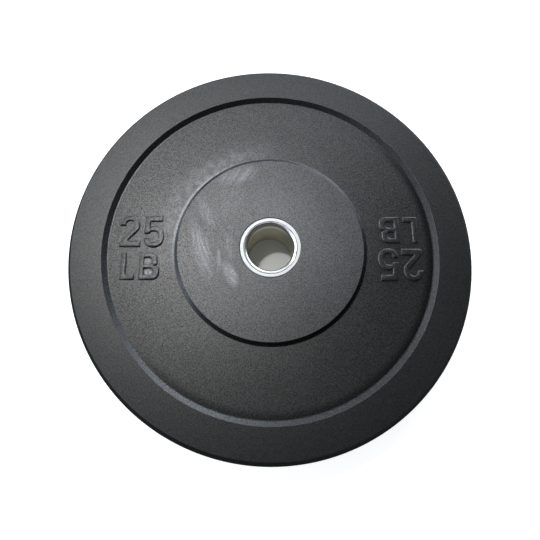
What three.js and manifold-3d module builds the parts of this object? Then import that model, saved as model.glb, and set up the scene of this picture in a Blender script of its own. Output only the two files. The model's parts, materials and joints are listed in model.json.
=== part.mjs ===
// A rubber bumper plate for a barbell, lying flat, with the steel insert that slides on the bar.
// Lengths are in millimetres. +Z runs up along the bore. The origin is on the bore's axis, in the plane
// that the plate lies on. The front face is up, and the rear face repeats it.

import * as THREE from 'three';
import { mergeVertices } from 'three/addons/utils/BufferGeometryUtils.js';
import Module from 'manifold-3d';

// Overall sizes
const plateDiameter = 450; // the diameter that puts the bar at its standard height
const plateWidth = 63.5; // over the two hub faces, which are the ones that touch in a stack of plates
const boreDiameter = 50.8; // slides on a bar sleeve of 50 mm

// Rim: the raised band that meets the floor
const rimWidth = 38.2; // from the tread to the inner edge of the rim's flat face
const rimSetback = 0.5; // the rim's face lies this far behind the hub's face
const rimSlopeRun = 5.8; // how far the sloped step inside the rim reaches inwards
const rimEdgeRounding = 0.8;
const shoulderRun = 4.7; // how far the steep shoulder outside the rim's face reaches outwards
const shoulderDrop = 6.7; // and how far it comes down
const treadRounding = 8; // where the shoulder bends into the tread

// Web: the recessed band between rim and hub, which carries the weight figures
const webRecess = 3.5; // how deep it lies below the rim's face
const webFootRounding = 1.2; // the fillets where the two slopes meet the web

// Hub: the raised disc round the insert
const hubFaceDiameter = 207;
const hubSlopeRun = 4;
const hubEdgeRounding = 0.8;
const hubLipRounding = 0.7; // the rubber's edge round the flange

// Insert sleeve: the tube that slides on the bar
const sleeveWall = 4.1;
const leadInDepth = 5.5; // the rounded mouth that guides the bar in
const leadInRun = 3.8; // how far the mouth opens beyond the bore
const sleeveEdgeRounding = 0.3;

// Flanges: the bright rings round the two mouths
const flangeWidth = 4;
const flangeThickness = 5;
const flangeEdgeRounding = 0.7;
const flangeSeamRounding = 0.3;

// Anchor ring: the pierced plate that keys the sleeve into the rubber
const anchorWidth = 29;
const anchorThickness = 6;
const anchorHoleDiameter = 15;
const anchorHoleCount = 8;

// Clearances between pieces that touch on the real plate
const seamGap = 0.3; // between two steel pieces
const mouldGap = 0.3; // between steel and the rubber moulded round it

// Fineness of the round forms
const plateFacets = 96;
const insertFacets = 64;
const holeFacets = 14;
const leadInSteps = 5;
const chordError = 0.15; // the most that a flat may cut into a rounded corner

// Radii and heights that follow from the sizes above
const plateRadius = plateDiameter / 2;
const rimInnerRadius = plateRadius - rimWidth;
const webOuterRadius = rimInnerRadius - rimSlopeRun;
const rimOuterRadius = plateRadius - shoulderRun;
const webDepth = rimSetback + webRecess;
const hubFaceRadius = hubFaceDiameter / 2;
const hubFootRadius = hubFaceRadius + hubSlopeRun;
const boreRadius = boreDiameter / 2;
const sleeveRadius = boreRadius + sleeveWall;
const flangeInnerRadius = sleeveRadius + seamGap;
const flangeRadius = flangeInnerRadius + flangeWidth;
const anchorInnerRadius = sleeveRadius + seamGap;
const anchorRadius = anchorInnerRadius + anchorWidth;
const midHeight = plateWidth / 2;

const wasm = await Module();
wasm.setup();

// Materials

const blackRubber = new THREE.MeshStandardMaterial({ color: 0x2d2e30, roughness: 0.62, metalness: 0 });
const stainless = new THREE.MeshStandardMaterial({ color: 0xd9dad6, roughness: 0.24, metalness: 1 });
const mildSteel = new THREE.MeshStandardMaterial({ color: 0x6a6c6e, roughness: 0.5, metalness: 1 });

// Shaping

// The points of one corner. A rounded corner is an arc tangent to both of its sides, and its rounding is
// held to what the shorter side has room for.
function cornerPoints(before, corner, after, rounding) {
  if (rounding === 0) return [corner.clone()];
  const toBefore = before.clone().sub(corner);
  const toAfter = after.clone().sub(corner);
  const room = Math.min(toBefore.length(), toAfter.length()) / 2;
  toBefore.normalize();
  toAfter.normalize();
  const halfAngle = Math.acos(toBefore.dot(toAfter)) / 2;
  const radius = Math.min(rounding, room * Math.tan(halfAngle));
  const bisector = toBefore.clone().add(toAfter).normalize();
  const centre = corner.clone().addScaledVector(bisector, radius / Math.sin(halfAngle));
  const start = corner.clone().addScaledVector(toBefore, radius / Math.tan(halfAngle)).sub(centre);
  const turn = Math.PI - 2 * halfAngle;
  const sweep = Math.sign(toAfter.cross(toBefore)) * turn;
  const longestStep = 2 * Math.acos(Math.max(0, 1 - chordError / radius));
  const steps = Math.ceil(turn / longestStep);
  const origin = new THREE.Vector2();
  return Array.from({ length: steps + 1 }, (_, step) => (
    start.clone().rotateAround(origin, sweep * step / steps).add(centre)
  ));
}

// A closed outline in the half plane of radius and height, from corners written as [radius, height,
// rounding]. The corners run outwards along the bottom, up the outside and back along the top.
function roundedOutline(corners) {
  const places = corners.map(([radius, height]) => new THREE.Vector2(radius, height));
  return corners.flatMap(([, , rounding], i) => {
    const before = places[(i + places.length - 1) % places.length];
    const after = places[(i + 1) % places.length];
    return cornerPoints(before, places[i], after, rounding);
  });
}

// The solid that a closed outline sweeps round the bore's axis.
function turned(outline, facets) {
  const geometry = new THREE.LatheGeometry([...outline, outline[0].clone()], facets);
  return geometry.rotateX(Math.PI / 2);
}

function toSolid(geometry) {
  const bare = geometry.clone();
  bare.deleteAttribute('normal');
  bare.deleteAttribute('uv');
  const merged = mergeVertices(bare);
  return new wasm.Manifold(new wasm.Mesh({
    numProp: 3,
    vertProperties: merged.attributes.position.array,
    triVerts: new Uint32Array(merged.index.array),
  }));
}

function toGeometry(solid) {
  const { vertProperties, triVerts } = solid.getMesh();
  const geometry = new THREE.BufferGeometry();
  geometry.setAttribute('position', new THREE.BufferAttribute(vertProperties, 3));
  geometry.setIndex(new THREE.BufferAttribute(triVerts, 1));
  geometry.computeVertexNormals();
  return geometry;
}

function named(name, geometry, material) {
  const mesh = new THREE.Mesh(geometry, material);
  mesh.name = name;
  return mesh;
}

// Points evenly round a circle, in the plane across the bore.
function circle(radius, facets, centre = new THREE.Vector2()) {
  return Array.from({ length: facets }, (_, i) => {
    const angle = 2 * Math.PI * i / facets;
    return new THREE.Vector2(Math.cos(angle), Math.sin(angle)).multiplyScalar(radius).add(centre);
  });
}

// Anchor ring: a flat ring round the sleeve's middle, pierced so that the rubber runs through it. With a
// clearance it is the pocket that the ring fills: larger all round, with smaller holes.
function anchorGeometry(clearance) {
  const plate = new THREE.Shape(circle(anchorRadius + clearance, insertFacets));
  const bore = circle(anchorInnerRadius - clearance, insertFacets);
  const holeCentres = circle((anchorInnerRadius + anchorRadius) / 2, anchorHoleCount);
  const holeRadius = anchorHoleDiameter / 2 - clearance;
  const holes = holeCentres.map((centre) => circle(holeRadius, holeFacets, centre));
  plate.holes.push(...[bore, ...holes].map((points) => new THREE.Path(points)));
  const depth = anchorThickness + 2 * clearance;
  const geometry = new THREE.ExtrudeGeometry(plate, { depth, bevelEnabled: false });
  return geometry.translate(0, 0, midHeight - depth / 2);
}

// Insert sleeve: a tube from face to face. Each mouth is a quarter of an ellipse that starts at the narrow
// land beside the flange and runs into the bore.
function sleeveOutline() {
  const landRadius = boreRadius + leadInRun;
  const outerEdge = cornerPoints(
    new THREE.Vector2(sleeveRadius, midHeight),
    new THREE.Vector2(sleeveRadius, plateWidth),
    new THREE.Vector2(landRadius, plateWidth),
    sleeveEdgeRounding,
  );
  const mouth = new THREE.EllipseCurve(
    landRadius, plateWidth - leadInDepth, leadInRun, leadInDepth, Math.PI / 2, Math.PI,
  ).getPoints(leadInSteps);
  const frontEnd = [...outerEdge, ...mouth];
  const rearEnd = frontEnd.map(({ x, y }) => new THREE.Vector2(x, plateWidth - y)).reverse();
  return [...frontEnd, ...rearEnd];
}

// Flange: the ring round one mouth, with its outer edge eased and a fine seam against the sleeve. It is
// drawn for the front face, and the rear one is its mirror image in the plate's middle.
function flangeCorners() {
  const back = plateWidth - flangeThickness;
  return [
    [flangeInnerRadius, back, 0],
    [flangeRadius, back, 0],
    [flangeRadius, plateWidth, flangeEdgeRounding],
    [flangeInnerRadius, plateWidth, flangeSeamRounding],
  ];
}

function mirrored(corners) {
  return corners.map(([radius, height, rounding]) => [radius, plateWidth - height, rounding]).reverse();
}

// Rubber disc: one outline for hub, web, rim and tread, the same on both faces, hollowed for the insert.
function rubberGeometry() {
  const seatDepth = flangeThickness + mouldGap;
  const rearFace = [
    [sleeveRadius + mouldGap, seatDepth, 0],
    [flangeRadius + mouldGap, seatDepth, 0],
    [flangeRadius + mouldGap, 0, hubLipRounding],
    [hubFaceRadius, 0, hubEdgeRounding],
    [hubFootRadius, webDepth, webFootRounding],
    [webOuterRadius, webDepth, webFootRounding],
    [rimInnerRadius, rimSetback, rimEdgeRounding],
    [rimOuterRadius, rimSetback, rimEdgeRounding],
    [plateRadius, rimSetback + shoulderDrop, treadRounding],
  ];
  const disc = toSolid(turned(roundedOutline([...rearFace, ...mirrored(rearFace)]), plateFacets));
  const anchorPocket = toSolid(anchorGeometry(mouldGap));
  return toGeometry(disc.subtract(anchorPocket));
}

const bumperPlate = new THREE.Group();
bumperPlate.add(
  named('rubber_disc', rubberGeometry(), blackRubber),
  named('insert_sleeve', turned(sleeveOutline(), insertFacets), stainless),
  named('front_flange', turned(roundedOutline(flangeCorners()), insertFacets), stainless),
  named('rear_flange', turned(roundedOutline(mirrored(flangeCorners())), insertFacets), stainless),
  named('anchor_ring', anchorGeometry(0), mildSteel),
);

export default bumperPlate;
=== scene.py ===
# %% [markdown]
# # A rubber bumper plate, from its packed frame to its looks
# A bumper plate is a disc of black rubber moulded round a steel insert. It slides on a bar and is made to
# be dropped. The packed frame gives every size and place, so the first step is to load it. Nothing else is
# read from disk: each piece below is drawn in this script, in metres, where the frame says that it sits.

# %% Load the packed frame
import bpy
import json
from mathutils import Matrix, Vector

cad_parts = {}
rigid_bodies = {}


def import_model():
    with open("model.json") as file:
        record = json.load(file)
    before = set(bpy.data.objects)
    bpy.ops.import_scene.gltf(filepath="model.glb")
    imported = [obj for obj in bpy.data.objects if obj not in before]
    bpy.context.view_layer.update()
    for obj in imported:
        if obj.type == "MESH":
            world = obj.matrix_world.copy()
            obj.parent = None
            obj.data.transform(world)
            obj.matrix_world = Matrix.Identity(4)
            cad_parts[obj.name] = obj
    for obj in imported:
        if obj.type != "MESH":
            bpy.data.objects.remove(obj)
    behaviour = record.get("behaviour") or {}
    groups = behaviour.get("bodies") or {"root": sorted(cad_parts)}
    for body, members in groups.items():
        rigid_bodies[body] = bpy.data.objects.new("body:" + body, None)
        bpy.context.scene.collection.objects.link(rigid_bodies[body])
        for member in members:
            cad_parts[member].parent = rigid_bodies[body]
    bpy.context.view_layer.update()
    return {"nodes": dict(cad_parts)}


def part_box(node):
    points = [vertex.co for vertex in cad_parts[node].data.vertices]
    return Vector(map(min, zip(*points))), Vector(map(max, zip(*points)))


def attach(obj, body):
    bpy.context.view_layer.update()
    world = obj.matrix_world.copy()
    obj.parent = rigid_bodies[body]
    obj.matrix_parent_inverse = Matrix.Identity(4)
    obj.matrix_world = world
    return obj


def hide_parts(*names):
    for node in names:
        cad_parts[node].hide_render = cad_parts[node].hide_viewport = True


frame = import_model()

# %% [markdown]
# ## Sizes
# The big sizes come from the frame's own nodes, so that the pieces can't drift away from them. The small
# ones, such as how far a slope runs in, can't be read from a box. They are written in millimetres, with
# the same values as in the part's source: here where several steps need them, and otherwise in a recipe's
# own table.

# %% Sizes that the frame gives
import math

import bmesh
import bpy
from mathutils import Matrix, Vector

mm = 0.001


def outer_radius(node_name):
    """How far a round node reaches from the bore's axis."""
    return round(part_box(node_name)[1].x, 5)


def reach_along_bore(node_name):
    """How far a node reaches from its rear end to its front end."""
    low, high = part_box(node_name)
    return round(high.z - low.z, 5)


plate_radius = outer_radius("rubber_disc")
plate_width = reach_along_bore("rubber_disc")
mid_height = plate_width / 2
flange_radius = outer_radius("front_flange")
flange_thickness = reach_along_bore("front_flange")
sleeve_radius = outer_radius("insert_sleeve")
anchor_radius = outer_radius("anchor_ring")
anchor_thickness = reach_along_bore("anchor_ring")
print("plate", plate_radius, "x", plate_width, "flange", flange_radius, "sleeve", sleeve_radius)

# %% Sizes that no box shows
bore_radius = 25.4 * mm
seam_gap = 0.3 * mm
rim_setback = 0.5 * mm
shoulder_run = 4.7 * mm
web_outer_radius = 181 * mm
web_depth = 4 * mm
hub_face_radius = 103.5 * mm
hub_foot_radius = 107.5 * mm
web_width = web_outer_radius - hub_foot_radius
print(f"web {web_width / mm:.1f} mm wide, {web_depth / mm:.1f} mm deep, bore {2 * bore_radius / mm:.1f} mm")

# %% [markdown]
# ## Sums as Python
# Blender keeps both a shape recipe and a surface finish as a graph of nodes. Wiring a sum such as
# `1 - a * b` by hand takes two nodes and several lines. A small class that wraps a socket can do that
# wiring whenever Python meets an operator, so the sums below read as sums. A second class holds the graph,
# and one method adds any other node: its type, then its settings, then what goes into its sockets.

# %% A signal, which is one socket's value
class Signal:
    """One socket's value. An operator on it adds the Math node that works it out."""

    def __init__(self, board, socket):
        self.board = board
        self.socket = socket

    def __add__(self, other):
        return self.board.maths("ADD", self, other)

    def __sub__(self, other):
        return self.board.maths("SUBTRACT", self, other)

    def __rsub__(self, other):
        return self.board.maths("SUBTRACT", other, self)

    def __mul__(self, other):
        return self.board.maths("MULTIPLY", self, other)

    def __truediv__(self, other):
        return self.board.maths("DIVIDE", self, other)

    def __gt__(self, other):
        return self.board.maths("GREATER_THAN", self, other)

    __radd__ = __add__
    __rmul__ = __mul__


operators = [name for name, value in vars(Signal).items() if callable(value) and name != "__init__"]
print("a signal knows", operators)

# %% A board, which is the graph that signals run on
class Board:
    """A node graph, of a shape or of a finish."""

    def __init__(self, tree):
        self.tree = tree

    def node(self, kind, settings=None, sockets=None, output=0):
        """Adds a node. A socket goes by its name, or by its number where a node repeats a name."""
        made = self.tree.nodes.new(kind)
        for name, value in (settings or {}).items():
            if name == "choices":
                add_choices(made, value)
            else:
                setattr(made, name, value)
        inputs = [socket for socket in made.inputs if socket.enabled]
        for key, value in (sockets or {}).items():
            by_name = [socket for socket in inputs if socket.name == key]
            target = inputs[key] if isinstance(key, int) else by_name[0]
            for item in value if isinstance(value, list) else [value]:
                self.plug(target, item)
        outputs = [socket for socket in made.outputs if socket.enabled]
        by_name = [socket for socket in outputs if socket.name == output]
        return Signal(self, by_name[0] if by_name else outputs[output])

    def plug(self, target, item):
        """Links a signal to a socket, or sets a plain value on it."""
        if isinstance(item, Signal):
            self.tree.links.new(item.socket, target)
        else:
            target.default_value = item

    def maths(self, operation, *values):
        return self.node("ShaderNodeMath", {"operation": operation}, dict(enumerate(values)))

    def vector(self, x=0.0, y=0.0, z=0.0):
        """Three numbers as one vector."""
        return self.node("ShaderNodeCombineXYZ", {}, {"X": x, "Y": y, "Z": z})


def add_choices(node, count):
    """Gives an Index Switch as many inputs as there are values to choose from."""
    while len(node.index_switch_items) < count:
        node.index_switch_items.new()


print("a board knows", [name for name in vars(Board) if not name.startswith("__")])

# %% [markdown]
# ## Shape recipes
# A round piece is one outline turned round the bore's axis, as on a lathe, so its shape follows a rule: a
# few radii and heights. Geometry Nodes suit that. The sizes become named inputs of a tree, and the fillets
# and the turning are nodes. The outline is drawn as sharp corners, each with its own rounding, and Fillet
# Curve eases them. Curve to Mesh then carries the outline round a tiny circle, which closes the piece
# without a seam.

# %% A tree with named inputs
input_kinds = {
    bool: "NodeSocketBool",
    int: "NodeSocketInt",
    float: "NodeSocketFloat",
    bpy.types.Object: "NodeSocketObject",
    bpy.types.Material: "NodeSocketMaterial",
}


def new_recipe(name, inputs):
    """An empty Geometry Nodes tree with these inputs, and each input as a signal."""
    tree = bpy.data.node_groups.new(name, "GeometryNodeTree")
    tree.is_modifier = True
    tree.interface.new_socket(name="Geometry", in_out="INPUT", socket_type="NodeSocketGeometry")
    tree.interface.new_socket(name="Geometry", in_out="OUTPUT", socket_type="NodeSocketGeometry")
    for label, value in inputs.items():
        kind = next(kind for kind in input_kinds if isinstance(value, kind))
        tree.interface.new_socket(name=label, in_out="INPUT", socket_type=input_kinds[kind])
    board = Board(tree)
    entrance = tree.nodes.new("NodeGroupInput")
    given = {socket.name: Signal(board, socket) for socket in entrance.outputs if socket.name}
    return board, given


def end_recipe(board, geometry, finish):
    """The last nodes of each tree: real geometry in place of instances, with its finish on it."""
    real = board.node("GeometryNodeRealizeInstances", {}, {"Geometry": geometry})
    finished = board.node("GeometryNodeSetMaterial", {}, {"Geometry": real, "Material": finish})
    exit_node = board.tree.nodes.new("NodeGroupOutput")
    board.plug(exit_node.inputs["Geometry"], finished)
    print("recipe", board.tree.name, "has", len(board.tree.nodes), "nodes")


def use_recipe(piece, board, values):
    """Puts a tree on a piece and sets its inputs, which go by identifier and not by name."""
    modifier = piece.modifiers.new(board.tree.name, "NODES")
    modifier.node_group = board.tree
    for item in board.tree.interface.items_tree:
        if item.item_type == "SOCKET" and item.in_out == "INPUT" and item.name in values:
            modifier[item.identifier] = values[item.name]


print("a recipe's inputs can be", [kind.__name__ for kind in input_kinds])

# %% Choices inside a tree
def pick(board, index, values):
    """The value whose place in the list is the index."""
    choices = {str(place): value for place, value in enumerate(values)}
    settings = {"data_type": "FLOAT", "choices": len(values)}
    return board.node("GeometryNodeIndexSwitch", settings, {"Index": index, **choices})


def either(board, kind, condition, when_false, when_true):
    """The last value where the condition holds, and the one before it elsewhere."""
    sockets = {"Switch": condition, "False": when_false, "True": when_true}
    return board.node("GeometryNodeSwitch", {"input_type": kind}, sockets)


def mirrored_index(board, half_count):
    """Counts the corners up one half of an outline and back down the other, and tells the halves apart."""
    index = board.node("GeometryNodeInputIndex")
    settings = {"data_type": "INT", "operation": "GREATER_EQUAL"}
    front = board.node("FunctionNodeCompare", settings, {"A": index, "B": half_count})
    back_down = (2 * half_count - 1) - index
    return either(board, "INT", front, index, back_down), front


def turned_over(board, geometry, width):
    """The geometry turned about X and shifted, which takes it from one face of the plate to the other."""
    sockets = {"Geometry": geometry, "Translation": board.vector(z=width), "Rotation": (math.pi, 0, 0)}
    return board.node("GeometryNodeTransform", {}, sockets)


print("a recipe can", [helper.__name__ for helper in (pick, either, mirrored_index, turned_over)])

# %% Corners to an outline, and an outline to a turned piece
spindle_radius = 0.1 * mm
weld_distance = 0.002 * mm
smooth_limit = math.radians(32)


def drawn_path(board, count, place, closed):
    """A curve through this many corners, each at its place. Radius runs along X and height along Y."""
    corners = board.node("GeometryNodeMeshLine", {"mode": "OFFSET"}, {"Count": count})
    path = board.node("GeometryNodeMeshToCurve", {}, {"Mesh": corners})
    if closed:
        path = board.node("GeometryNodeSetSplineCyclic", {}, {"Geometry": path, "Cyclic": True})
    return board.node("GeometryNodeSetPosition", {}, {"Geometry": path, "Position": place})


def eased_path(board, path, rounding, steps):
    """The curve with an arc at each corner."""
    sockets = {"Curve": path, "Count": steps, "Radius": rounding, "Limit Radius": True}
    return board.node("GeometryNodeFilletCurve", {"mode": "POLY"}, sockets)


def closed_outline(board, count, radius, height, rounding, steps):
    """A closed curve through sharp corners, with each corner eased."""
    place = board.vector(radius - spindle_radius, 0.0 - height)
    return eased_path(board, drawn_path(board, count, place, closed=True), rounding, steps)


def swept_round(board, outline, facets):
    """The surface that the outline sweeps on its way round the bore's axis."""
    circle = board.node("GeometryNodeCurvePrimitiveCircle", {"mode": "RADIUS"},
                        {"Resolution": facets, "Radius": spindle_radius})
    level = board.node("GeometryNodeSetCurveNormal", {"mode": "Z_UP"}, {"Curve": circle})
    return board.node("GeometryNodeCurveToMesh", {}, {"Curve": level, "Profile Curve": outline})


def turned_solid(board, outline, facets):
    """The solid inside a swept outline, with its faces outward and no double points."""
    outward = board.node("GeometryNodeReverseCurve", {}, {"Curve": outline})
    swept = swept_round(board, outward, facets)
    return board.node("GeometryNodeMergeByDistance", {}, {"Geometry": swept, "Distance": weld_distance})


def smooth_by_angle(board, mesh):
    """Shades faces smooth, and keeps an edge sharp where two faces meet at more than the limit."""
    smooth = board.node("GeometryNodeSetShadeSmooth", {"domain": "FACE"}, {"Geometry": mesh})
    angle = board.node("GeometryNodeInputMeshEdgeAngle", {}, {}, "Unsigned Angle")
    crisp = board.node("FunctionNodeCompare", {"data_type": "FLOAT", "operation": "GREATER_THAN"},
                       {"A": angle, "B": smooth_limit})
    sockets = {"Geometry": smooth, "Selection": crisp, "Shade Smooth": False}
    return board.node("GeometryNodeSetShadeSmooth", {"domain": "EDGE"}, sockets)


print("edges over", round(math.degrees(smooth_limit)), "degrees stay sharp")

# %% From a piece with modifiers to a plain mesh
def new_piece(name, mesh=None):
    """An object at the origin, unturned and unscaled. Its place is in its mesh."""
    piece = bpy.data.objects.new(name, mesh or bpy.data.meshes.new(name))
    bpy.context.scene.collection.objects.link(piece)
    return piece


def settle(piece):
    """Keeps what the modifiers make as the piece's own plain mesh, and takes the modifiers off."""
    weighted = piece.modifiers.new("even_shading", "WEIGHTED_NORMAL")
    weighted.keep_sharp = True
    depsgraph = bpy.context.evaluated_depsgraph_get()
    evaluated = piece.evaluated_get(depsgraph)
    mesh = bpy.data.meshes.new_from_object(evaluated, preserve_all_data_layers=True, depsgraph=depsgraph)
    piece.modifiers.clear()
    piece.data = mesh
    mesh.name = piece.name
    report(piece)


def report(piece):
    """Prints a piece's size, its triangles, its volume and its open edges, which should be none."""
    mesh = piece.data
    mesh.calc_loop_triangles()
    points = [vertex.co for vertex in mesh.vertices]
    volume = sum(points[a].dot(points[b].cross(points[c])) / 6
                 for a, b, c in (triangle.vertices for triangle in mesh.loop_triangles))
    uses = {}
    for polygon in mesh.polygons:
        for key in polygon.edge_keys:
            uses[key] = uses.get(key, 0) + 1
    loose = sum(1 for count in uses.values() if count != 2)
    reaches = [max(column) - min(column) for column in zip(*points)]
    size = [round(reach / mm, 2) for reach in reaches]
    print(f"{piece.name}: {size} mm, {len(mesh.loop_triangles)} triangles, "
          f"{volume * 1000:.3f} litres, {loose} open edges")


print("objects before the first new piece:", len(bpy.data.objects))

# %% [markdown]
# ## Finishes
# Every finish is made of nodes and reads Object coordinates. The pieces sit at the origin of the frame, so
# a position on a piece is also a position on the plate, and a wipe mark can be put where the photograph
# has it. The materials are made empty first, so that the shape recipes can hand them to their pieces.

# %% Empty finishes to fill in later
def new_finish(name):
    finish = bpy.data.materials.new(name)
    finish.use_nodes = True
    finish.node_tree.nodes.clear()
    return finish


rubber_finish = new_finish("black_moulded_rubber")
turned_steel_finish = new_finish("turned_stainless_steel")
plate_steel_finish = new_finish("mill_scale_steel")
floor_finish = new_finish("white_studio_floor")
print("finishes:", sorted(bpy.data.materials.keys()))

# %% [markdown]
# ## The rubber disc
# The disc is hub, recessed web, raised rim and tread in one moulding, the same on both faces. A cylinder
# with rings cut into it would need many booleans. One outline of thirteen corners, mirrored in the plate's
# middle, gives the same shape with every edge eased, and keeps each size as a named input. The mould
# closes round the middle of the tread, where a real plate keeps a fine raised line of flash.

# %% Inputs of the disc's recipe
disc_sizes = {
    "Plate radius": plate_radius,
    "Plate width": plate_width,
    "Rim inner radius": 186.8 * mm,
    "Rim setback": rim_setback,
    "Rim edge rounding": 0.8 * mm,
    "Shoulder run": shoulder_run,
    "Shoulder drop": 6.7 * mm,
    "Tread rounding": 8 * mm,
    "Web outer radius": web_outer_radius,
    "Web depth": web_depth,
    "Web foot rounding": 1.2 * mm,
    "Hub foot radius": hub_foot_radius,
    "Hub face radius": hub_face_radius,
    "Hub edge rounding": 0.8 * mm,
    "Hub lip rounding": 0.7 * mm,
    "Seat radius": flange_radius + seam_gap,
    "Seat depth": flange_thickness + seam_gap,
    "Rubber bore radius": sleeve_radius + seam_gap,
    "Pocket radius": anchor_radius + seam_gap,
    "Pocket width": anchor_thickness + 2 * seam_gap,
    "Flash height": 0.2 * mm,
    "Flash width": 0.9 * mm,
    "Corner steps": 9,
    "Facets": 288,
    "Finish": rubber_finish,
}
print(len(disc_sizes), "inputs")

# %% Recipe of the disc
disc_recipe, size = new_recipe("moulded_disc", disc_sizes)
pocket_face = (size["Plate width"] - size["Pocket width"]) / 2
middle = size["Plate width"] / 2
tread_radius = size["Plate radius"] - size["Flash height"]
disc_corners = [
    # radius, height above the rear face, rounding
    (size["Pocket radius"], pocket_face, 0.0),
    (size["Rubber bore radius"], pocket_face, 0.0),
    (size["Rubber bore radius"], size["Seat depth"], 0.0),
    (size["Seat radius"], size["Seat depth"], 0.0),
    (size["Seat radius"], 0.0, size["Hub lip rounding"]),
    (size["Hub face radius"], 0.0, size["Hub edge rounding"]),
    (size["Hub foot radius"], size["Web depth"], size["Web foot rounding"]),
    (size["Web outer radius"], size["Web depth"], size["Web foot rounding"]),
    (size["Rim inner radius"], size["Rim setback"], size["Rim edge rounding"]),
    (size["Plate radius"] - size["Shoulder run"], size["Rim setback"], size["Rim edge rounding"]),
    (tread_radius, size["Rim setback"] + size["Shoulder drop"], size["Tread rounding"]),
    (tread_radius, middle - size["Flash width"] / 2, size["Flash width"] / 4),
    (size["Plate radius"], middle - size["Flash width"] / 6, size["Flash width"] / 8),
]
place, front = mirrored_index(disc_recipe, len(disc_corners))
radius, height, rounding = (pick(disc_recipe, place, column) for column in zip(*disc_corners))
mirrored_height = either(disc_recipe, "FLOAT", front, height, size["Plate width"] - height)
disc_outline = closed_outline(disc_recipe, 2 * len(disc_corners), radius, mirrored_height, rounding,
                              size["Corner steps"])
end_recipe(disc_recipe, turned_solid(disc_recipe, disc_outline, size["Facets"]), size["Finish"])

# %% [markdown]
# ## Weight figures
# The plate says how heavy it is in raised block figures, once on the left and once turned round on the
# right, so that one of them reads upright whichever way the plate lies. A text object would bring a
# typeface along. Here each figure is drawn as corners with roundings instead, like the plate's own
# outline. A flat curve fills them, with holes where they have counters. Its bevel rounds each figure from
# the web up to a narrower top, because a mould needs such a slope to let go of the rubber.

# %% Corners of each figure, in millimetres from its lower left, and the rounding of each
figure_corners = {
    "two": [[
        (0.4, 0, 0), (23.6, 0, 0), (23.6, 7.7, 0), (9.8, 7.7, 0.3), (22.3, 20.9, 9), (22.3, 36.7, 11),
        (0, 36.7, 10.8), (0, 24.7, 0), (7, 24.7, 0), (7, 30.5, 4), (15.2, 30.5, 4), (15.2, 23.6, 5),
        (0.4, 7, 4),
    ]],
    "five": [[
        (-0.3, 10.6, 0), (-0.3, -0.5, 10.3), (22.8, -0.5, 11.2), (22.8, 24.8, 10.8), (9, 24.8, 2),
        (7.2, 23.2, 0), (7.6, 29.3, 0.3), (20.6, 29.3, 0), (20.6, 36.4, 0), (1.3, 36.4, 0),
        (0, 15.4, 0), (6.4, 15.4, 0), (8, 18.1, 1.6), (15.6, 18.1, 4.6), (15.6, 5.8, 5), (6.3, 5.8, 4.2),
        (6.3, 10.6, 0),
    ]],
    "letter_l": [[(0, 0, 0), (16.2, 0, 0), (16.2, 6.3, 0), (6.8, 6.3, 0.3), (6.8, 30.3, 0), (0, 30.3, 0)]],
    "letter_b": [
        [(0, 0, 0), (23.2, 0, 8.2), (23.2, 15.4, 4.2), (18.3, 16.3, 0), (20.9, 17.2, 2.6), (20.9, 31, 7.6),
         (0, 31, 0)],
        [(6.2, 18.2, 0), (13.7, 18.2, 3.2), (13.7, 24.9, 3.2), (6.2, 24.9, 0)],
        [(6.4, 6.2, 0), (15.6, 6.2, 3.1), (15.6, 12.6, 3.1), (6.4, 12.6, 0)],
    ],
}
figure_places = {
    # the figure's lower left, in millimetres from the bore's axis
    "two": (-168.5, 1),
    "five": (-141.5, 1),
    "letter_l": (-165.6, -36),
    "letter_b": (-145.3, -36.1),
}
print({figure: sum(len(loop) for loop in loops) for figure, loops in figure_corners.items()}, "corners")


# %% Corners to a path with arcs
def eased(corners, steps=7):
    """A closed path through the corners, each one replaced by an arc that is tangent to its two sides."""
    places = [Vector(corner[:2]) for corner in corners]
    path = []
    for i, corner in enumerate(places):
        rounding = corners[i][2]
        if rounding == 0:
            path.append(corner)
            continue
        back = (places[i - 1] - corner).normalized()
        ahead = (places[(i + 1) % len(places)] - corner).normalized()
        half = back.angle(ahead) / 2
        centre = corner + (back + ahead).normalized() * rounding / math.sin(half)
        start = corner + back * rounding / math.tan(half) - centre
        way = 1 if back.x * ahead.y - back.y * ahead.x < 0 else -1
        sweep = way * (math.pi - 2 * half)
        path += [centre + Matrix.Rotation(sweep * step / steps, 2) @ start for step in range(steps + 1)]
    return path


print("the two has", len(eased(figure_corners["two"][0])), "points")

# %% Draw the figures as one flat curve with a bevel
figure_rounding = 1.5 * mm


def drawn_figures():
    """The four figures of one label as a closed mesh, in their place but still down on the ground."""
    drawing = bpy.data.curves.new("figures", "CURVE")
    drawing.dimensions = "2D"
    drawing.fill_mode = "BOTH"
    drawing.extrude = figure_rounding
    drawing.bevel_depth = figure_rounding
    drawing.bevel_resolution = 3
    drawing.offset = -figure_rounding
    for figure, loops in figure_corners.items():
        left, bottom = figure_places[figure]
        for corners in loops:
            path = eased(corners)
            spline = drawing.splines.new("POLY")
            spline.points.add(len(path) - 1)
            spline.use_cyclic_u = True
            for point, place in zip(spline.points, path):
                point.co = ((left + place.x) * mm, (bottom + place.y) * mm, 0, 1)
    carrier = bpy.data.objects.new("figures", drawing)
    bpy.context.scene.collection.objects.link(carrier)
    depsgraph = bpy.context.evaluated_depsgraph_get()
    mesh = bpy.data.meshes.new_from_object(carrier.evaluated_get(depsgraph))
    bpy.data.objects.remove(carrier)
    return mesh


def close_up(mesh):
    """Joins the mesh's loose borders and turns its faces outward."""
    shape = bmesh.new()
    shape.from_mesh(mesh)
    bmesh.ops.remove_doubles(shape, verts=shape.verts, dist=0.001 * mm)
    bmesh.ops.recalc_face_normals(shape, faces=shape.faces)
    shape.to_mesh(mesh)
    shape.free()


figures_mesh = drawn_figures()
close_up(figures_mesh)
print("figures:", len(figures_mesh.polygons), "faces")

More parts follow.
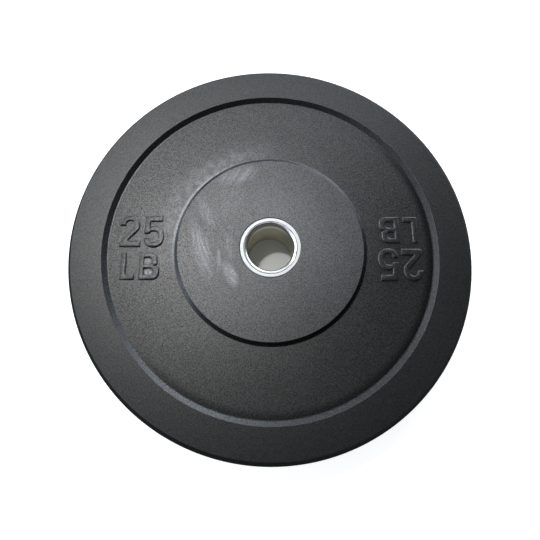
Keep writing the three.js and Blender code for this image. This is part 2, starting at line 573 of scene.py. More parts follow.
# %% Raise the figures off the web
figure_raise = 2.2 * mm
foot_sink = 0.05 * mm
web_height = plate_width - web_depth
figure_top = web_height + figure_raise - foot_sink
steeper = Matrix.Diagonal((1, 1, figure_raise / figure_rounding, 1))
onto_web = Matrix.Translation((0, 0, figure_top - 2 * figure_raise))
figures_mesh.transform(onto_web @ steeper)
weight_figures = new_piece("weight_figures_pattern", figures_mesh)
report(weight_figures)

# %% [markdown]
# ## Rubber through the anchor ring
# A pierced steel ring on the middle of the sleeve lies buried in the rubber. The rubber fills its eight
# holes, and these plugs are what holds the insert when the plate is dropped. One plug is drawn and a
# recipe repeats it.

# %% Draw one plug
anchor_hole_radius = 7.5 * mm
plug_radius = anchor_hole_radius - seam_gap
plug_circle = (sleeve_radius + seam_gap + anchor_radius) / 2
plug_overlap = 0.5 * mm
plug_length = anchor_thickness + 2 * (seam_gap + plug_overlap)


def drawn_plug():
    shape = bmesh.new()
    place = Matrix.Translation((plug_circle, 0, mid_height))
    bmesh.ops.create_cone(shape, cap_ends=True, segments=28, radius1=plug_radius, radius2=plug_radius,
                          depth=plug_length, matrix=place)
    mesh = bpy.data.meshes.new("plug")
    shape.to_mesh(mesh)
    shape.free()
    return mesh


plug = new_piece("rubber_plug_pattern", drawn_plug())
report(plug)

# %% [markdown]
# ## Repeat round the bore and join
# Plugs and figures both repeat round the bore, so one recipe serves both: it makes copies of a pattern,
# turns them over if they belong to the rear face, and joins them to the disc. A boolean union makes one
# closed skin of them, as the mould does. Shading comes last: fillets look smooth and true edges stay
# sharp.

# %% Recipe that repeats a pattern and joins it
repeat_inputs = {
    "Pattern": plug,
    "Copies": 8,
    "Turn over": False,
    "Plate width": plate_width,
    "Finish": rubber_finish,
}
repeat_recipe, given = new_recipe("repeat_round_the_bore", repeat_inputs)
pattern = repeat_recipe.node("GeometryNodeObjectInfo", {}, {"Object": given["Pattern"]}, "Geometry")
spots = repeat_recipe.node("GeometryNodeMeshLine", {"mode": "OFFSET"},
                           {"Count": given["Copies"], "Offset": (0, 0, 0)})
spot_number = repeat_recipe.node("GeometryNodeInputIndex")
spin = repeat_recipe.vector(z=spot_number * (2 * math.pi) / given["Copies"])
copies = repeat_recipe.node("GeometryNodeInstanceOnPoints", {},
                            {"Points": spots, "Instance": pattern, "Rotation": spin})
real_copies = repeat_recipe.node("GeometryNodeRealizeInstances", {}, {"Geometry": copies})
rear_copies = turned_over(repeat_recipe, real_copies, given["Plate width"])
chosen_copies = either(repeat_recipe, "GEOMETRY", given["Turn over"], real_copies, rear_copies)
joined = repeat_recipe.node("GeometryNodeMeshBoolean", {"operation": "UNION", "solver": "MANIFOLD"},
                            {"Mesh": [given["Geometry"], chosen_copies]}, "Mesh")
end_recipe(repeat_recipe, joined, given["Finish"])

# %% Recipe that sets the shading
shade_recipe, given = new_recipe("smooth_by_angle", {"Finish": rubber_finish})
end_recipe(shade_recipe, smooth_by_angle(shade_recipe, given["Geometry"]), given["Finish"])

# %% Make the disc
moulded_disc = new_piece("moulded_rubber_disc")
use_recipe(moulded_disc, disc_recipe, disc_sizes)
use_recipe(moulded_disc, repeat_recipe, repeat_inputs)
for on_rear_face in (False, True):
    label_inputs = {**repeat_inputs, "Pattern": weight_figures, "Copies": 2, "Turn over": on_rear_face}
    use_recipe(moulded_disc, repeat_recipe, label_inputs)
use_recipe(moulded_disc, shade_recipe, {"Finish": rubber_finish})
settle(moulded_disc)
for pattern_piece in (plug, weight_figures):
    bpy.data.objects.remove(pattern_piece)

# %% [markdown]
# ## The insert sleeve
# A stainless tube runs from face to face and slides on the bar. Each mouth opens in a quarter of an
# ellipse, so that the plate finds the bar easily. The half outline counts from the bore wall up the
# ellipse to the face, and its last corner is the tube's outside. The index of a corner is also its angle
# on the ellipse, so a sine and a cosine draw the mouth without a list of points.

# %% Recipe of the sleeve
mouth_steps = 10
mouth_run = 3.8 * mm
mouth_depth = 5.5 * mm
sleeve_sizes = {
    "Bore radius": bore_radius,
    "Sleeve radius": sleeve_radius,
    "Plate width": plate_width,
    "Mouth run": mouth_run,
    "Mouth depth": mouth_depth,
    "Edge rounding": 0.3 * mm,
    "Facets": 192,
    "Finish": turned_steel_finish,
}
sleeve_recipe, size = new_recipe("turned_sleeve", sleeve_sizes)
half_count = mouth_steps + 2
place, front = mirrored_index(sleeve_recipe, half_count)
mouth_angle = place * (math.pi / 2 / mouth_steps)
mouth_radius = size["Bore radius"] + size["Mouth run"] * (1 - sleeve_recipe.maths("COSINE", mouth_angle))
mouth_height = size["Mouth depth"] * (1 - sleeve_recipe.maths("SINE", mouth_angle))
outside = place > mouth_steps + 0.5
radius = mouth_radius + outside * (size["Sleeve radius"] - mouth_radius)
height = mouth_height - outside * mouth_height
mirrored_height = either(sleeve_recipe, "FLOAT", front, height, size["Plate width"] - height)
sleeve_outline = closed_outline(sleeve_recipe, 2 * half_count, radius, mirrored_height,
                                outside * size["Edge rounding"], 3)
turned_sleeve = turned_solid(sleeve_recipe, sleeve_outline, size["Facets"])
end_recipe(sleeve_recipe, smooth_by_angle(sleeve_recipe, turned_sleeve), size["Finish"])

# %% Make the sleeve
insert_tube = new_piece("insert_tube")
use_recipe(insert_tube, sleeve_recipe, sleeve_sizes)
settle(insert_tube)

# %% [markdown]
# ## The flanges
# A bright ring sits round each mouth, flush with the hub's face, and keeps the rubber's edge from wearing.
# The two are alike, so one recipe draws the rear one and an input turns it over for the front.

# %% Recipe of a flange
flange_sizes = {
    "Inner radius": sleeve_radius + seam_gap,
    "Outer radius": flange_radius,
    "Thickness": flange_thickness,
    "Plate width": plate_width,
    "Edge rounding": 0.7 * mm,
    "Seam rounding": 0.3 * mm,
    "Turn over": False,
    "Facets": 192,
    "Finish": turned_steel_finish,
}
flange_recipe, size = new_recipe("turned_flange", flange_sizes)
flange_corners = [
    # radius, height above the rear face, rounding
    (size["Inner radius"], 0.0, size["Seam rounding"]),
    (size["Outer radius"], 0.0, size["Edge rounding"]),
    (size["Outer radius"], size["Thickness"], 0.0),
    (size["Inner radius"], size["Thickness"], 0.0),
]
corner_number = flange_recipe.node("GeometryNodeInputIndex")
radius, height, rounding = (pick(flange_recipe, corner_number, column) for column in zip(*flange_corners))
flange_outline = closed_outline(flange_recipe, len(flange_corners), radius, height, rounding, 6)
rear_ring = turned_solid(flange_recipe, flange_outline, size["Facets"])
front_ring = turned_over(flange_recipe, rear_ring, size["Plate width"])
chosen_ring = either(flange_recipe, "GEOMETRY", size["Turn over"], rear_ring, front_ring)
end_recipe(flange_recipe, smooth_by_angle(flange_recipe, chosen_ring), size["Finish"])

# %% Make both flanges
flange_rings = {}
for node_name, is_front in (("front_flange", True), ("rear_flange", False)):
    flange_rings[node_name] = new_piece(f"{node_name}_ring")
    use_recipe(flange_rings[node_name], flange_recipe, {**flange_sizes, "Turn over": is_front})
    settle(flange_rings[node_name])

# %% [markdown]
# ## Places on the plate
# All finishes need the same few things, and the first of them is to know where a point is: how far from
# the bore, at what height and in which direction. One board offers this, and soft steps from one place to
# another. Each node is added when it is first asked for, so that no finish carries nodes that it doesn't
# use.

# %% A board that knows where a point is
from functools import cached_property


class PlaceBoard(Board):
    """A board that reads places on the plate."""

    @cached_property
    def place(self):
        """Where the point lies on the plate."""
        return self.node("ShaderNodeTexCoord", {}, {}, "Object")

    @cached_property
    def parts(self):
        """The three numbers of the place."""
        first = self.node("ShaderNodeSeparateXYZ", {}, {"Vector": self.place})
        return [Signal(self, socket) for socket in first.socket.node.outputs]

    x = property(lambda self: self.parts[0])
    y = property(lambda self: self.parts[1])
    z = property(lambda self: self.parts[2])

    @cached_property
    def from_axis(self):
        return self.length(self.x, self.y)

    def length(self, first, second):
        """The long side of a right angle with these two sides."""
        return self.maths("POWER", first * first + second * second, 0.5)

    def reach(self, place):
        """How far a place is from the origin."""
        return self.node("ShaderNodeVectorMath", {"operation": "LENGTH"}, {0: place}, "Value")

    def facing(self, azimuth):
        """1 where the way out from the bore points to this azimuth, 0 across it and -1 behind."""
        angle = math.radians(azimuth)
        return (self.x * math.cos(angle) + self.y * math.sin(angle)) / self.from_axis

    def ramp(self, value, low, high, start=0.0, end=1.0):
        """Goes smoothly from start to end while the value goes from low to high."""
        sockets = {"Value": value, "From Min": low, "From Max": high, "To Min": start, "To Max": end}
        return self.node("ShaderNodeMapRange", {"interpolation_type": "SMOOTHSTEP"}, sockets)

    def outward(self, low, high, start=0.0, end=1.0):
        """A ramp on the distance from the bore's axis."""
        return self.ramp(self.from_axis, low, high, start, end)

    def towards(self, azimuth, low, high, start=0.0, end=1.0):
        """A ramp on how nearly the way out from the bore points to this azimuth."""
        return self.ramp(self.facing(azimuth), low, high, start, end)


print("places:", [name for name in vars(PlaceBoard) if not name.startswith("__")])

# %% [markdown]
# ## Noise, colours and surfaces
# On those places a finish lays noise, colours, bumps and at last a surface. A noise loses contrast on the
# planes of its own grid, and this plate is full of flat faces that could lie in one. So a noise reads a
# tilted grid here, unless it is given places of its own.

# %% A board for finishes
class FinishBoard(PlaceBoard):
    """A board for the finish of a piece, the floor or the room."""

    def __init__(self, finish):
        super().__init__(finish.node_tree)

    @cached_property
    def tilted(self):
        return self.node("ShaderNodeMapping", {}, {"Vector": self.place, "Rotation": (0.6, 0.4, 0.2)})

    def noise(self, scale, detail=2.0, roughness=0.5, place=None):
        """Smooth random values from 0 to 1. A scale of 1000 makes blobs of about 1 mm."""
        sockets = {"Vector": place or self.tilted, "Scale": scale, "Detail": detail, "Roughness": roughness}
        return self.node("ShaderNodeTexNoise", {}, sockets, "Fac")

    def colour(self, red, green, blue):
        return self.node("ShaderNodeCombineColor", {}, {"Red": red, "Green": green, "Blue": blue})

    def blend(self, factor, first, second):
        """The first colour where the factor is 0 and the second where it is 1."""
        sockets = {"Factor": factor, "A": first, "B": second}
        return self.node("ShaderNodeMix", {"data_type": "RGBA"}, sockets, "Result")

    def bump(self, height, distance, strength, under=None):
        """A bump, which may lie on top of another one."""
        sockets = {"Strength": strength, "Distance": distance, "Height": height}
        if under:
            sockets["Normal"] = under
        return self.node("ShaderNodeBump", {}, sockets)

    def ray_kinds(self):
        """1 where the camera looks, 1 where a gloss looks and 1 where a look goes through glass."""
        light_path = self.tree.nodes.new("ShaderNodeLightPath")
        return [Signal(self, light_path.outputs[name])
                for name in ("Is Camera Ray", "Is Glossy Ray", "Is Transmission Ray")]

    def shader(self, **values):
        """A surface with these values. Their names are the shader's own, in small letters."""
        titles = {name: name.replace("_", " ").title().replace("Ior", "IOR") for name in values}
        return self.node("ShaderNodeBsdfPrincipled", {}, {titles[name]: values[name] for name in values})

    def finish(self, surface):
        """Puts the surface on the piece."""
        output = self.tree.nodes.new("ShaderNodeOutputMaterial")
        self.plug(output.inputs["Surface"], surface)
        print("finish with", len(self.tree.nodes), "nodes")


print("finishes add:", [name for name in vars(FinishBoard) if not name.startswith("__")])

# %% [markdown]
# ## Black rubber
# Moulded rubber is nearly black and satin, so the eye reads its sheen: a broad soft highlight with a fine
# grain from the mould. One noise drives both the grain's bump and a mix of a satin and a dull surface. The
# high spots are scuffed dull, and the hollows keep their sheen and some pale dust.

# %% Grain and clouds of the rubber
grain_scale = 820
patch_scale = 14
rubber = FinishBoard(rubber_finish)
grain = rubber.noise(grain_scale)
mottle = rubber.noise(420, 3.0, 0.6)
smudges = rubber.noise(110, 4.0, 0.6)
patches = rubber.noise(patch_scale, 3.0)
speckle = 1.9 - 1.8 * grain
cloudy = 0.7 + 0.6 * patches
rubber_grain = rubber.bump(grain, 0.04 * mm, 0.6, under=rubber.bump(mottle, 0.05 * mm, 0.5))
print(f"grain of about {1 / grain_scale / mm:.1f} mm, patches of about {1 / patch_scale / mm:.0f} mm")

# %% [markdown]
# ## Where the rubber differs
# Hub, web, rim and tread don't wear alike. A soft step in the distance from the bore marks each of them.
# The steps are as narrow as the plate's own edges, so that a change of finish lies in an edge and isn't
# seen.

# %% Parts of the plate as masks
on_hub = rubber.outward(hub_face_radius - 0.5 * mm, hub_face_radius + 0.3 * mm, 1.0, 0.0)
on_web = rubber.outward(hub_foot_radius - 1.5 * mm, hub_foot_radius)
inside_rim = rubber.outward(web_outer_radius - 1 * mm, web_outer_radius + 1.5 * mm, 1.0, 0.0)
shoulder_radius = plate_radius - shoulder_run
on_tread = rubber.outward(shoulder_radius - 0.4 * mm, shoulder_radius + 0.4 * mm)
off_middle = rubber.maths("ABSOLUTE", rubber.z - mid_height)
on_tread_wall = on_tread * rubber.ramp(off_middle, 12 * mm, 25 * mm, 1.0, 0.0)
label_inner_radius = hub_foot_radius + 4 * mm
label_outer_radius = web_outer_radius - 5 * mm
by_figures = (rubber.outward(label_inner_radius, label_inner_radius + 1 * mm)
              * rubber.outward(label_outer_radius - 1 * mm, label_outer_radius, 1.0, 0.0))
on_figure_edges = (by_figures * rubber.ramp(rubber.z, web_height + 0.2 * mm, web_height + 0.7 * mm)
                   * rubber.ramp(rubber.z, figure_top - 0.25 * mm, figure_top - 0.02 * mm, 1.0, 0.0))
print(f"figures are looked for {label_inner_radius / mm:.1f} to {label_outer_radius / mm:.1f} mm out")

# %% [markdown]
# ## Wipe marks
# Pale marks go across hub and web where a cloth or a hand has wiped the plate. Each mark is an oval with a
# soft edge, at the place that the photograph shows. Inside it lie fine streaks along arcs, because an arm
# swings round its elbow. The two marks by the left label are the counters of its B, which no cloth
# reaches.

# %% Places of the marks
swing_centres = {"short": (30, 33), "long": (100, -3)}
wipe_marks = [
    # x, y, turn in degrees, half width, half length, strength, swing
    (-77, -2, 18, 13, 42, 0.102, "short"),
    (-72, 42, 20, 10, 27, 0.066, "short"),
    (-57, -14, 1, 3.5, 19, 0.096, "long"),
    (-45, 0, 4, 9, 24, 0.042, "long"),
    (-44, -30, 26, 9, 20, 0.132, "short"),
    (-36, 86, -72, 13, 31, 0.090, "long"),
    (-46, 58, -16, 24, 46, 0.019, "long"),
    (-135.8, -14.8, 0, 5.2, 5, 0.250, "long"),
    (-134.7, -27, 0, 6.2, 5, 0.230, "long"),
]
print(len(wipe_marks), "marks, the strongest", max(mark[5] for mark in wipe_marks))


# %% Streaks and haze of the marks
def swung_streaks(board, centre):
    """Streaks along arcs round a centre, as a hand with a cloth leaves them."""
    away_x = board.x - centre[0] * mm
    away_y = board.y - centre[1] * mm
    swing = board.maths("ARCTAN2", away_y, away_x)
    along_arcs = board.vector(board.length(away_x, away_y) / mm, swing * 9, 0.5)
    return board.ramp(board.noise(0.4, 3.0, 0.65, along_arcs), 0.33, 0.70)


def wiped_haze(board):
    """How much pale haze the marks leave on the front face."""
    streaks = {swing: swung_streaks(board, centre) for swing, centre in swing_centres.items()}
    haze = 0.0
    for x, y, turn, half_width, half_length, strength, swing in wipe_marks:
        sockets = {"Vector": board.place, "Location": (x * mm, y * mm, 0),
                   "Rotation": (0, 0, math.radians(turn)), "Scale": (half_width * mm, half_length * mm, 1)}
        oval = board.node("ShaderNodeMapping", {"vector_type": "TEXTURE"}, sockets)
        haze = board.ramp(board.reach(oval), 0.25, 1.0, strength, 0.0) * (0.5 + streaks[swing]) + haze
    return haze * board.ramp(board.z, mid_height, web_height)


wiped = wiped_haze(rubber) * (1.7 - 1.4 * grain)
print("with the marks the rubber has", len(rubber.tree.nodes), "nodes")

# %% [markdown]
# ## Dust, painted sheen and painted highlights
# Dust dulls the hub. A painted sheen lightens the hub towards one side and the web beside the hub on the
# lit side, and painted highlights make pale lines at the foot of each step on the side where the light
# falls. All of it is paler than the rubber, so it is added to the rubber's own near black. The edges of the
# figures are paler too, as rubbed wear and as a painted highlight.

# %% Pale dust, painted sheen and painted highlights over the rubber
bare_level, tread_level, tread_wall_level, figure_edge_highlight_level = 0.0018, 0.001, 0.006, 0.03
hub_dust_and_sheen_at_flange, hub_dust_and_sheen_at_edge = 0.052, 0.028
sheen_cloud_least, sheen_cloud_most = 0.004, 0.078
hub_foot_highlight_level, rim_foot_highlight_level = 0.168, 0.09

# Dust on the hub, with a painted sheen that makes it paler towards one side
hub_dust_and_sheen = on_hub * rubber.outward(flange_radius, hub_face_radius, hub_dust_and_sheen_at_flange, hub_dust_and_sheen_at_edge)
hub_dust_and_sheen = hub_dust_and_sheen * (1.0 + 0.4 * rubber.facing(45))
# Painted sheen: a pale cloud on the web next to the hub, on the lit side, broken up by smudges
fade = rubber.outward(hub_foot_radius, 150 * mm, 1.0, 0.0)
painted_sheen_cloud = rubber.towards(137, 0.5, 1.0, sheen_cloud_least, sheen_cloud_most) * fade * fade
# Painted highlight: a pale line on the web at the hub's foot, on the lit side
painted_hub_foot_highlight = (rubber.outward(hub_foot_radius, hub_foot_radius + 3.5 * mm, hub_foot_highlight_level, 0.0)
                 * rubber.towards(152, 0.7, 1.0))
web_sheen_and_highlight = on_web * (painted_sheen_cloud * rubber.ramp(smudges, 0.3, 0.7, 0.4, 1.6) + painted_hub_foot_highlight)
# Painted highlight: a pale line at the rim's foot, on the lit side
off_rim_foot = rubber.maths("ABSOLUTE", rubber.from_axis - (web_outer_radius - 0.5 * mm))
painted_rim_foot_highlight = (rubber.ramp(off_rim_foot, 0.3 * mm, 1.0 * mm, rim_foot_highlight_level, 0.0)
                 * rubber.towards(160, 0.75, 1.0))
# Dust on the hub together with the painted sheen and the painted highlights, all paler than the rubber
dust_sheen_and_highlights = (hub_dust_and_sheen + web_sheen_and_highlight + painted_rim_foot_highlight) * cloudy * speckle
# The figures' edges are paler, partly as rubbed wear and partly as a painted highlight
rubber_level = (bare_level + on_tread * tread_level + on_tread_wall * tread_wall_level
                + on_figure_edges * figure_edge_highlight_level + dust_sheen_and_highlights)
rubber_shade = rubber.colour(rubber_level + wiped * 1.03,
                             rubber_level + wiped * 0.95,
                             rubber_level * 0.99 + wiped * 1.02)
# The last value printed is the strength of the painted highlight at the hub's foot.
print("bare rubber reflects", bare_level, "of the light, and the thickest dust adds about", hub_foot_highlight_level)

# %% [markdown]
# ## Satin and dull
# How much of the rubber is dull follows the grain. The corner at the rim's foot is dulled and darkened as
# painted shade of the rim wall, which also hides the grain there, and hub and web are a little duller along
# one line across the plate than beside it. The steep shoulder keeps the dull skin of the mould, while the
# middle of the tread has rolled on floors and has some sheen.

# %% The rubber's surface
usual_dullness, shoulder_dullness, rolled_off = 0.35, 0.97, 0.30
grain_contrast = rubber.outward(web_outer_radius, web_outer_radius + 6 * mm, 1.9, 1.1)
# Painted shade: the web is dulled and darkened in the corner at the rim's foot, on one side
corner_painted_shade = (rubber.outward(170 * mm, web_outer_radius - 1 * mm)
               * rubber.outward(web_outer_radius, web_outer_radius + 1.5 * mm, 0.4, 0.0)
               * rubber.towards(312, -0.2, 0.35))
along_line = rubber.facing(165)
worn_line = inside_rim * (along_line * along_line - 0.4) * 0.16
seen_grain = (grain - 0.5) * grain_contrast * (1.0 - 1.6 * corner_painted_shade)
face_dullness = usual_dullness + worn_line + seen_grain + corner_painted_shade
tread_dullness = on_tread * shoulder_dullness - on_tread_wall * (rolled_off - (grain - 0.5) * 0.8)
satin_roughness = 0.38 + (mottle - 0.5) * 0.14 + (patches - 0.5) * 0.05
skin = {"base_color": rubber_shade, "metallic": 0.0, "ior": 1.5, "normal": rubber_grain}
satin = rubber.shader(specular_ior_level=1.0, roughness=satin_roughness, **skin)
dull = rubber.shader(specular_ior_level=0.02, roughness=0.75, **skin)
dullness = rubber.maths("MAXIMUM", face_dullness, tread_dullness)
rubber.finish(rubber.node("ShaderNodeMixShader", {}, {0: dullness, 1: satin, 2: dull}))

# %% [markdown]
# ## Turned stainless steel
# Insert and flanges are turned on a lathe, which leaves fine rings that stretch a highlight. Rings depend
# only on the distance from the axis and the height along it, so the noise reads those two numbers. The
# mouth, below the flange's edge, is painted darker as painted shade, and dirt stays in the seam between
# sleeve and flange.

# %% Clean steel with painted shade in the mouth and dirt in the seam
clean_steel, seam_steel, shaded_mouth_steel = (0.62, 0.62, 0.605, 1), (0.20, 0.18, 0.16, 1), (0.36, 0.35, 0.30, 1)
steel = FinishBoard(turned_steel_finish)
rings = steel.noise(3000, 4.0, 0.7, steel.vector(steel.from_axis, steel.z))
smears = steel.noise(160, 3.0)
from_mouth = steel.maths("MINIMUM", steel.z, plate_width - steel.z)
mouth_edge = bore_radius + mouth_run
on_face = steel.outward(mouth_edge - 0.3 * mm, mouth_edge + 0.1 * mm)
off_seam = steel.maths("ABSOLUTE", steel.from_axis - (sleeve_radius + seam_gap / 2))
seam_dirt = steel.ramp(off_seam, 0.25 * mm, 0.9 * mm, 0.7, 0.0)
# Painted shade: the steel gets darker down into the mouth, below the flange's edge
painted_mouth_shade = (1.0 - on_face) * steel.ramp(from_mouth, 0.8 * mm, 2.0 * mm, 0.0, 0.85)
clean_shade = steel.blend(painted_mouth_shade, steel.blend(seam_dirt, clean_steel, seam_steel), shaded_mouth_steel)
print("the mouth ends", round(mouth_edge / mm, 1), "mm from the bore's axis")

# %% [markdown]
# ## The bore
# Bars rub along the bore, so it is duller and warmer than the flange. One side is painted lighter as a
# painted sheen, a painted highlight lies just inside the lip, and painted shade darkens the end that lies
# on the floor.

# %% The bore with its painted sheen, highlight and shade, and the steel's surface
dull_bore, sheen_bore = (0.46, 0.44, 0.35, 1), (0.64, 0.61, 0.49, 1)
painted_lip_highlight, shaded_foot = (0.98, 0.96, 0.88, 1), (0.12, 0.10, 0.08, 1)
lip_and_foot_reach = 9 * mm
on_bore_wall = steel.outward(bore_radius + 0.1 * mm, bore_radius + 0.9 * mm, 1.0, 0.0)
in_bore = on_bore_wall * steel.ramp(from_mouth, mouth_depth - 1.4 * mm, mouth_depth - 0.8 * mm)
# Painted sheen: one side of the bore wall is lighter
sheen_side = steel.towards(105, 0.0, 0.9)
# Painted highlight: a pale band just inside the lip, on the lighter side
lip_highlight = sheen_side * steel.ramp(from_mouth, mouth_depth + 0.5 * mm, mouth_depth + lip_and_foot_reach, 1.0, 0.0)
# Painted shade: the bore gets darker towards the end that lies on the floor
foot_painted_shade = steel.ramp(steel.z, mouth_depth, mouth_depth + lip_and_foot_reach, 0.6, 0.0)
bore_shade = steel.blend(sheen_side, dull_bore, sheen_bore)
bore_shade = steel.blend(lip_highlight, bore_shade, painted_lip_highlight)
bore_shade = steel.blend(foot_painted_shade, bore_shade, shaded_foot)
steel_roughness = (0.30 + in_bore * 0.14 + on_face * 0.25
                   + (rings - 0.5) * 0.12 + (smears - 0.5) * 0.08)
steel.finish(steel.shader(base_color=steel.blend(in_bore, clean_shade, bore_shade), metallic=1.0,
                          roughness=steel_roughness, normal=steel.bump(rings, 0.012 * mm, 0.35)))

# %% [markdown]
# ## Plain steel in the rubber
# The anchor ring is cut from hot rolled plate, which keeps a blue-grey scale with paler spots where the
# scale has come off. It can't be seen on the whole plate, but it is there when the plate is taken apart.
# The frame's own ring is good enough as it is, so it keeps its mesh and only gets this finish.

# %% Scaled steel on the frame's anchor ring
blue_scale, paler_spot = (0.09, 0.095, 0.105, 1), (0.3, 0.29, 0.28, 1)
scaled = FinishBoard(plate_steel_finish)
scale_spots = scaled.ramp(scaled.noise(220, 4.0, 0.6), 0.52, 0.66)
scale_shade = scaled.blend(scale_spots, blue_scale, paler_spot)
scaled.finish(scaled.shader(base_color=scale_shade, metallic=0.9, roughness=0.62 - scale_spots * 0.2,
                            normal=scaled.bump(scaled.noise(900, 3.0), 0.05 * mm, 0.5)))
anchor_ring = frame["nodes"]["anchor_ring"]
for finish_slot in anchor_ring.material_slots:
    finish_slot.material = plate_steel_finish
print("anchor ring:", [finish_slot.material.name for finish_slot in anchor_ring.material_slots])

# %% [markdown]
# ## What each piece stands for
# Every piece rides on a body of the frame, and the table names the solid it stands for and the finish of
# the record it has; that solid's own node is hidden. This plate has no joint, so there is one body.

# %% Ride on the frame
stand_ins = [
    (moulded_disc, "rubber_disc", "black_rubber"),
    (insert_tube, "insert_sleeve", "stainless_steel"),
    (flange_rings["front_flange"], "front_flange", "stainless_steel"),
    (flange_rings["rear_flange"], "rear_flange", "stainless_steel"),
]
for piece, node_name, slot_name in stand_ins:
    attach(piece, "root")
    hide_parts(node_name)
print("pieces:", [piece.name for piece, node_name, slot_name in stand_ins])

# %% [markdown]
# ## The studio
# The photograph shows the plate on white. A wide floor that sweeps up to a low wall gives that from every
# side. It is a turned form as well: three corners, the middle one eased, swept round the same tiny circle.

# %% The floor that sweeps up to a low wall
floor_sizes = {
    "Floor radius": 5.0,
    "Sweep rounding": 1.2,
    "Wall height": 2.0,
    "Facets": 96,
    "Finish": floor_finish,
}
floor_recipe, size = new_recipe("swept_floor", floor_sizes)
floor_number = floor_recipe.node("GeometryNodeInputIndex")
floor_radius = pick(floor_recipe, floor_number, [0.0, size["Floor radius"], size["Floor radius"]])
floor_height = pick(floor_recipe, floor_number, [0.0, 0.0, size["Wall height"]])
floor_line = drawn_path(floor_recipe, 3, floor_recipe.vector(floor_radius, floor_height), closed=False)
floor_sweep = eased_path(floor_recipe, floor_line, size["Sweep rounding"], 12)
floor_mesh = swept_round(floor_recipe, floor_sweep, size["Facets"])
end_recipe(floor_recipe, smooth_by_angle(floor_recipe, floor_mesh), size["Finish"])

studio_floor = new_piece("studio_floor")
use_recipe(studio_floor, floor_recipe, floor_sizes)
settle(studio_floor)

# %% [markdown]
# ## White floor
# The floor takes the plate's shadow. Round the plate it also glows, but only for the camera and for
# mirrors, so that it is as white as in the photograph and sheds no light. Mirrors see less of the glow far
# away. Under the plate it hardly glows, but there it is a paler floor, so that the light which falls
# through the bore makes a bright patch on it.

# %% Finish of the floor
floor_under_plate, floor_round_plate = (0.92, 0.92, 0.92, 1), (0.66, 0.66, 0.66, 1)
glow_under_plate, glow_added_outside, glow_far_away = 0.03, 0.85, 0.3
shade_radius, near_radius, far_radius = 0.17, 0.6, 3.0

white = FinishBoard(floor_finish)
from_plate = white.reach(white.place)
outside_plate = white.ramp(from_plate, shade_radius, plate_radius)
by_camera, by_gloss, by_glass = white.ray_kinds()
mirrored = (by_gloss + by_glass) * white.ramp(from_plate, near_radius, far_radius, 1.0, glow_far_away)
seen_directly = white.maths("MINIMUM", by_camera + mirrored, 1.0)
glow = seen_directly * (glow_under_plate + outside_plate * glow_added_outside)
floor_shade = white.blend(outside_plate, floor_under_plate, floor_round_plate)
white.finish(white.shader(base_color=floor_shade, roughness=0.9, specular_ior_level=0.0,
                          emission_strength=1.0, emission_color=white.colour(glow, glow, glow)))

# %% [markdown]
# ## Light
# The photograph's shadows come from one small lamp high up and to the upper left. It makes the soft sheen
# on the left of the plate, the bright patch of floor in the bore and the white flange. Wide windows high
# up light the flat faces. A row of faint, bluish ones far down shows as pale lines on slopes that face
# them, and one in the lower left lights the hub's other side. All are plain soft lamps, turned to the
# plate's middle.

# %% Lamps
plate_top = Vector((0, 0, plate_width))


def hang_lamp(name, place, power, shape, width, depth, tint):
    """An area lamp at a place above the plate's face, turned to the plate's middle."""
    light = bpy.data.lights.new(name, "AREA")
    light.energy = power
    light.shape = shape
    light.size = width
    light.size_y = depth
    light.color = tint
    lamp = bpy.data.objects.new(name, light)
    bpy.context.scene.collection.objects.link(lamp)
    lamp.location = plate_top + Vector(place)
    lamp.rotation_euler = (-Vector(place)).to_track_quat("-Z", "Y").to_euler()
    lamp.visible_camera = False


def on_dome(azimuth, zenith, distance):
    """A place above the plate, from a direction on the floor, an angle off upright and a distance."""
    a, z = math.radians(azimuth), math.radians(zenith)
    outward = distance * math.sin(z)
    return (outward * math.cos(a), outward * math.sin(a), distance * math.cos(z))


lamp_white = (1.0, 1.0, 1.0)
window_tint = (0.88, 0.94, 1.0)
low_tint = (0.78, 0.88, 1.0)
room_tint = (0.62, 0.80, 1.0)
hang_lamp("key_lamp", (-0.38, 0.56, 2.0), 14.4, "DISK", 0.14, 0.14, lamp_white)
windows = [
    # name, azimuth, zenith angle, distance, power, width, depth, tint
    ("skylight", 90, 33, 2.5, 8.8, 1.6, 0.7, window_tint),
    ("side_light", 130, 50, 2.6, 3.5, 1.4, 1.8, window_tint),
    ("window_right", 66, 64, 2.5, 15.3, 1.2, 0.8, window_tint),
    ("window_left", 165, 62, 2.5, 20.0, 1.6, 0.9, window_tint),
    ("room_window", 208, 53, 2.5, 10.0, 1.2, 0.7, room_tint),
]
for azimuth, power in ((42, 26.0), (65, 35.0), (100, 15.0), (147, 37.0), (190, 19.0)):
    windows.append((f"low_window_{azimuth}", azimuth, 79, 2.5, power, 1.2, 0.7, low_tint))
for name, azimuth, zenith, distance, power, width, depth, tint in windows:
    hang_lamp(name, on_dome(azimuth, zenith, distance), power, "RECTANGLE", width, depth, tint)
print(1 + len(windows), "lamps")

# %% [markdown]
# ## The room
# The rest of the light is dim and comes from all round. The camera sees the sky as white. A mirror sees
# only a little of that white, because satin black rubber would turn grey under it.

# %% World
dim_light, white_sky = (0.0098, 0.0099, 0.01, 1), (0.95, 0.95, 0.95, 1)
mirrored_sky_share = 0.02

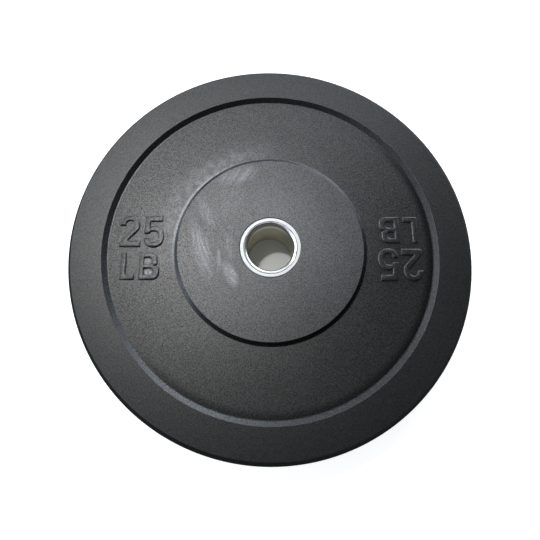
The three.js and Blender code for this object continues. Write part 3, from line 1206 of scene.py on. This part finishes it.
world = bpy.data.worlds.new("dim_room")
world.use_nodes = True
bpy.context.scene.world = world
room = FinishBoard(world)
seen_by_camera, seen_by_gloss, seen_by_glass = room.ray_kinds()
shown_sky = seen_by_camera + (seen_by_gloss + seen_by_glass) * mirrored_sky_share
sky = room.blend(shown_sky, dim_light, white_sky)
room.plug(world.node_tree.nodes["Background"].inputs["Color"], sky)
print("room with", len(room.tree.nodes), "nodes")

# %% [markdown]
# ## Camera
# The photograph was taken from the near side of the plate, looking down from a short distance. Place, tilt
# and focal length come from fitting the edges of rim, hub and bore, which are circles of known size. The
# picture is square and cropped off centre, which a shift of the lens repeats.

# %% Camera
picture_width = 540
focal_in_pixels = 619
centre_in_pixels = (263.58, 199.56)
sensor_width = 36
tilt = math.radians(19.43)
yaw = math.radians(0.52)
rim_face_height = plate_width - rim_setback
camera_place = Vector((-13.9 * mm, -178.3 * mm, 664.4 * mm + rim_face_height))

camera_data = bpy.data.cameras.new("photo_camera")
camera_data.sensor_width = sensor_width
camera_data.lens = sensor_width * focal_in_pixels / picture_width
camera_data.shift_x = (picture_width / 2 - centre_in_pixels[0]) / picture_width
camera_data.shift_y = (centre_in_pixels[1] - picture_width / 2) / picture_width
camera_data.clip_start = 0.01
camera = bpy.data.objects.new("photo_camera", camera_data)
bpy.context.scene.collection.objects.link(camera)
up = Vector((0, math.cos(tilt), math.sin(tilt)))
level_back = Vector((0, -math.sin(tilt), math.cos(tilt)))
level_right = Vector((1, 0, 0))
right = math.cos(yaw) * level_right + math.sin(yaw) * level_back
back = -math.sin(yaw) * level_right + math.cos(yaw) * level_back
camera_turn = Matrix((right, up, back)).transposed().to_4x4()
camera.matrix_world = Matrix.Translation(camera_place) @ camera_turn
bpy.context.scene.camera = camera
bpy.context.scene.view_settings.view_transform = "Standard"
print("camera at", [round(v, 4) for v in camera_place], "lens", round(camera_data.lens, 2))

# %% [markdown]
# ## Sizes of frame and looks
# The dressed plate has to stay inside the frame's box.

# %% Import json
import json
